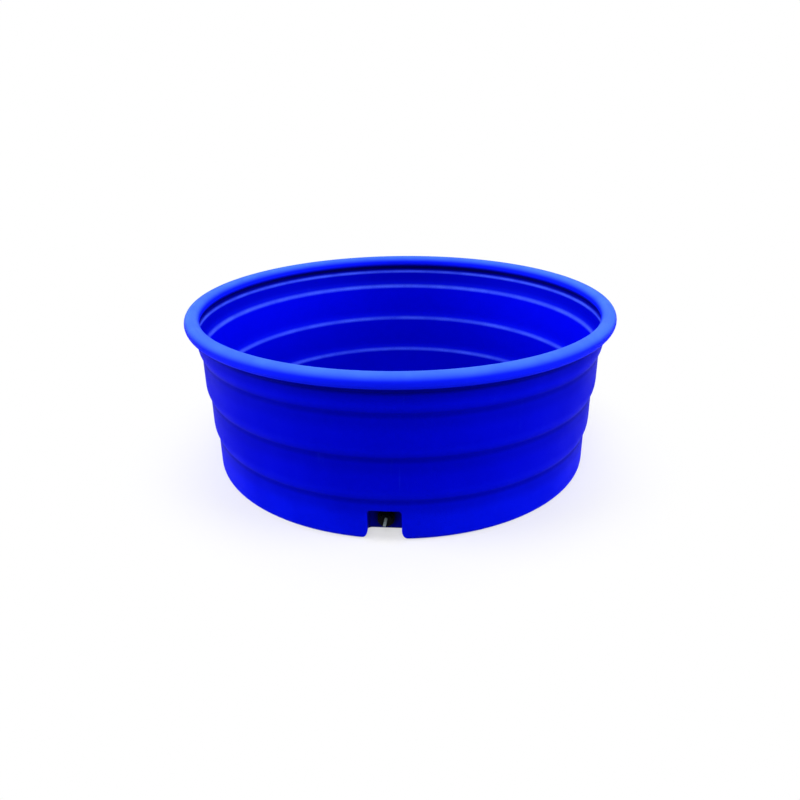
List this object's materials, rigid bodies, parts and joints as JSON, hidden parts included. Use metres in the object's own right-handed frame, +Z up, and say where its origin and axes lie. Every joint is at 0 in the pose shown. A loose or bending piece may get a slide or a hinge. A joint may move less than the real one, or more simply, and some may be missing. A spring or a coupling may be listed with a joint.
{
  "type": "livestock water trough",
  "caption": "Round open-top stepped plastic water tank for livestock with a hollow rolled rim and a screw plug in a drain recess at its foot.",
  "frame": {"origin": "centre of the base, on the ground", "axes": "+Z up along the tank's axis, -Y out through the drain recess, +X to the right as the drain is faced"},
  "size_m": [1.612, 1.612, 0.6099],
  "materials": {
    "tank_plastic": "satin moulded polyethylene, solid blue",
    "fitting_plastic": "black polypropylene",
    "plug_plastic": "black polypropylene, bar grip rubbed grey",
    "washer_plastic": "smooth black polyethylene",
    "seal_rubber": "soft black rubber"
  },
  "bodies": {
    "tank": {"tank_shell": "tank_plastic", "drain_body": "fitting_plastic", "drain_gasket": "seal_rubber", "locknut_washer": "washer_plastic", "locknut": "fitting_plastic"},
    "seal": {"plug_seal": "seal_rubber"},
    "plug": {"drain_plug": "plug_plastic"}
  },
  "joints": [
    {"name": "plug_travel", "type": "slide", "parent": "tank", "child": "seal", "axis": [0, -1, 0], "range_m": [0, 0.0156]},
    {"name": "plug_turn", "type": "hinge", "parent": "seal", "child": "plug", "pos_m": [0, -0.678, 0.0545], "axis": [0, -1, 0], "range_deg": [0, 2520]}
  ],
  "couplings": [
    {"joint": "plug_travel", "follows": "plug_turn", "m_per_rad": 0.0003515}
  ]
}
